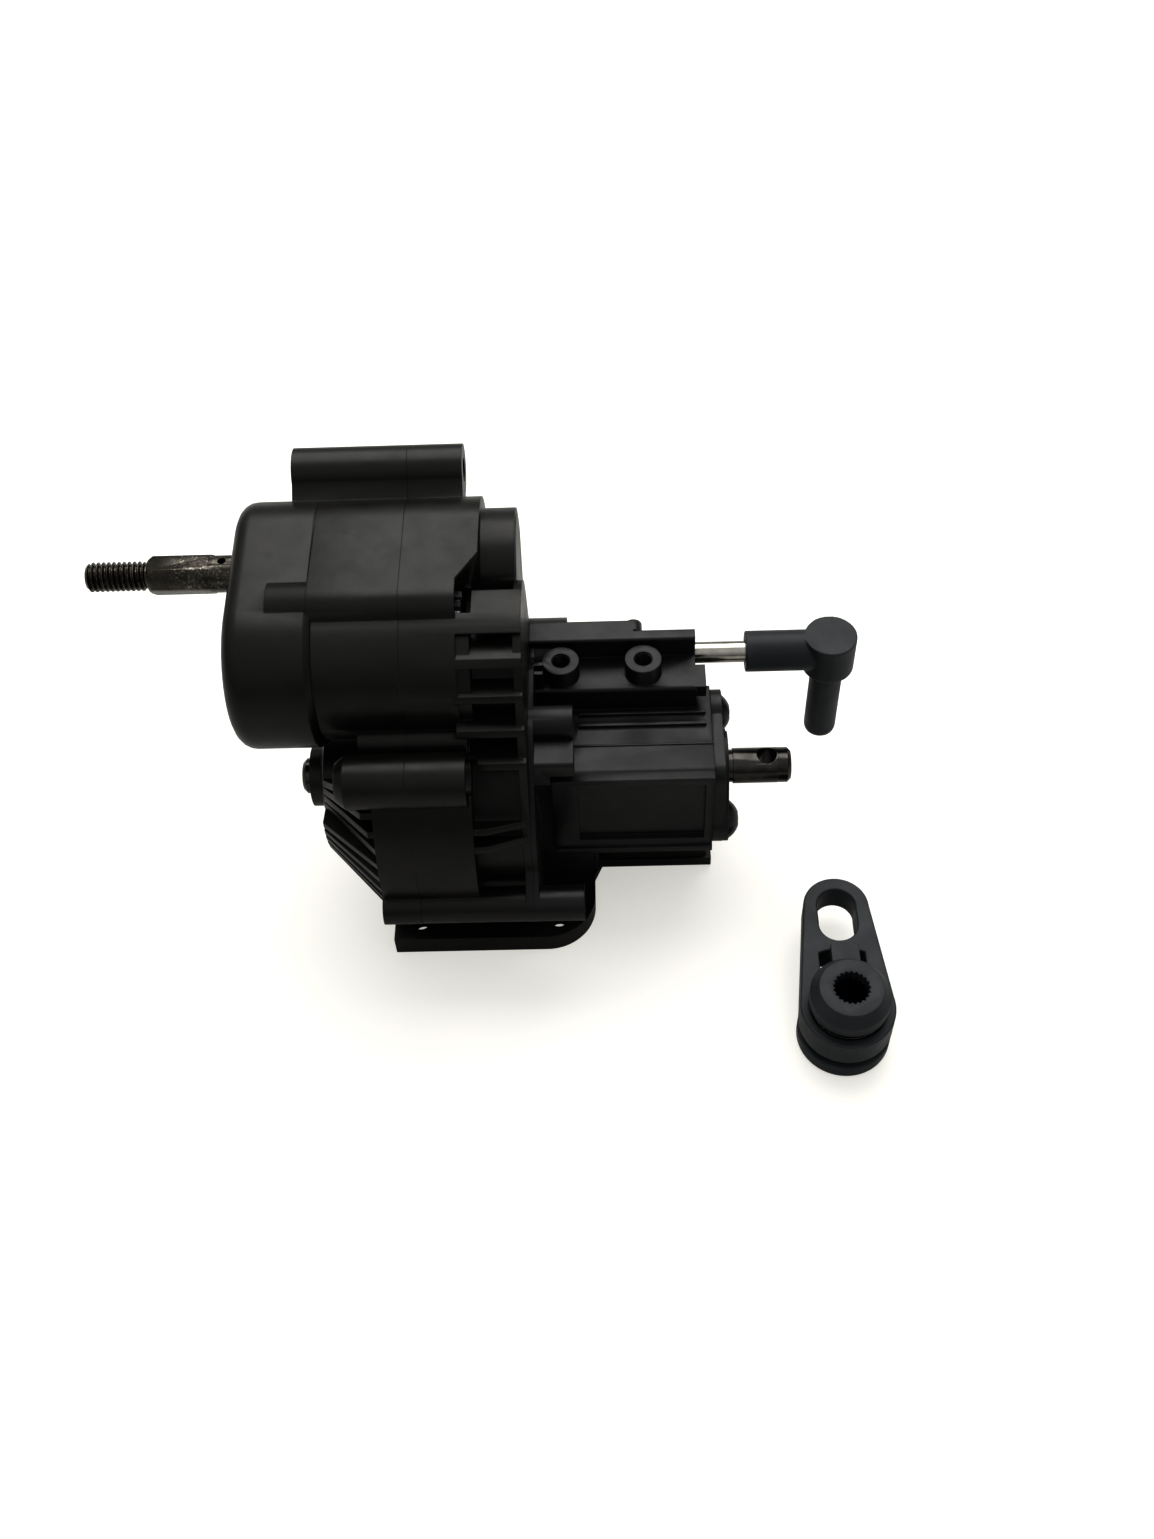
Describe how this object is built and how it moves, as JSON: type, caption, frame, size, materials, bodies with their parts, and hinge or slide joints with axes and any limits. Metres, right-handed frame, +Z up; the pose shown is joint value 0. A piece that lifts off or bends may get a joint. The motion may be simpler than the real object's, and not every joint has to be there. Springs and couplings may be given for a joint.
{
  "type": "two-speed crawler gearbox",
  "caption": "Two-speed gearbox of a radio-controlled crawler with a sliding shift rod and a loose servo-saver horn.",
  "frame": {"origin": "on the underside of the mount plate, below the output shaft, in the plane where the left and middle cases part", "axes": "+X along the shafts towards the output end, +Y away from the front face, +Z up from the mount plate"},
  "size_m": [0.1076, 0.0665, 0.0587],
  "materials": {
    "black_plastic": "satin moulded nylon",
    "housing_plastic": "satin moulded nylon, slightly blue",
    "blue_plastic": "fine matte moulded nylon",
    "black_screw": "black oxide steel",
    "bearing_steel": "ground",
    "gear_steel": "machined, oiled",
    "dark_shaft": "polished, black oxide",
    "input_steel": "black oxide, hexagon rubbed bright",
    "bright_steel": "polished",
    "bronze": "sintered",
    "rubber": "smooth"
  },
  "bodies": {
    "gearbox": {"left_case": "black_plastic", "middle_case": "black_plastic", "shift_housing": "housing_plastic", "end_cap": "housing_plastic", "mount_plate": "black_plastic", "case_screws": "black_screw", "housing_screws": "black_screw", "cap_screws": "black_screw", "plate_screws": "black_screw", "input_bearing_left": "bearing_steel", "input_bearing_right": "bearing_steel", "idler_bearing_left": "bearing_steel", "idler_bearing_right": "bearing_steel", "output_bearing_left": "bearing_steel", "output_bearing_middle": "bearing_steel", "output_bearing_right": "bearing_steel", "rod_seal": "rubber", "detent_ball": "bearing_steel", "detent_spring": "bright_steel", "detent_screw": "black_screw"},
    "input": {"input_shaft": "input_steel", "input_pinion": "gear_steel", "input_clip": "black_screw"},
    "idler": {"idler_shaft": "bearing_steel", "idler_gear": "gear_steel", "idler_spacer": "bright_steel", "low_pinion": "gear_steel", "high_pinion": "gear_steel"},
    "output": {"output_shaft": "dark_shaft", "dog_hub": "gear_steel", "hub_pin": "bright_steel", "left_spacer": "bright_steel", "middle_spacer": "bright_steel", "right_spacer": "bright_steel"},
    "dog": {"shift_dog": "gear_steel"},
    "low_gear": {"low_gear": "gear_steel", "low_gear_bush": "bronze"},
    "high_gear": {"high_gear": "gear_steel", "high_gear_bush": "bronze"},
    "shifter": {"shift_rod": "bright_steel", "shift_fork": "gear_steel", "fork_clips": "black_screw", "rod_end": "blue_plastic"},
    "horn": {"horn_hub": "blue_plastic", "horn_base": "blue_plastic", "horn_spring": "bright_steel"},
    "horn_arm": {"horn_arm": "blue_plastic"}
  },
  "joints": [
    {"name": "output_spin", "type": "hinge", "parent": "gearbox", "child": "output", "pos_m": [0, 0, 0.022], "axis": [1, 0, 0], "continuous": true},
    {"name": "input_spin", "type": "hinge", "parent": "gearbox", "child": "input", "pos_m": [0, 0.01504, 0.04743], "axis": [1, 0, 0], "continuous": true},
    {"name": "idler_spin", "type": "hinge", "parent": "gearbox", "child": "idler", "pos_m": [0, 0.0018, 0.04433], "axis": [1, 0, 0], "continuous": true},
    {"name": "low_gear_spin", "type": "hinge", "parent": "gearbox", "child": "low_gear", "pos_m": [0, 0, 0.022], "axis": [1, 0, 0], "continuous": true},
    {"name": "high_gear_spin", "type": "hinge", "parent": "gearbox", "child": "high_gear", "pos_m": [0, 0, 0.022], "axis": [1, 0, 0], "continuous": true},
    {"name": "shift_slide", "type": "slide", "parent": "gearbox", "child": "shifter", "axis": [1, 0, 0], "range_m": [0, 0.0026]},
    {"name": "dog_slide", "type": "slide", "parent": "output", "child": "dog", "axis": [1, 0, 0], "range_m": [0, 0.0026]},
    {"name": "horn_lift", "type": "slide", "parent": "gearbox", "child": "horn", "axis": [0, 0, 1], "range_m": [0, 0.04]},
    {"name": "horn_arm_pivot", "type": "hinge", "parent": "horn", "child": "horn_arm", "pos_m": [0.0574, -0.031, 0], "axis": [0, 0, 1], "range_deg": [-8, 8], "stiffness_Nm_per_rad": 0.4}
  ],
  "couplings": [
    {"joint": "input_spin", "follows": "output_spin", "ratio": 3.5714},
    {"joint": "idler_spin", "follows": "output_spin", "ratio": -2.5},
    {"joint": "low_gear_spin", "follows": "output_spin", "ratio": 1},
    {"joint": "high_gear_spin", "follows": "output_spin", "ratio": 1.5},
    {"joint": "dog_slide", "follows": "shift_slide", "ratio": 1}
  ]
}
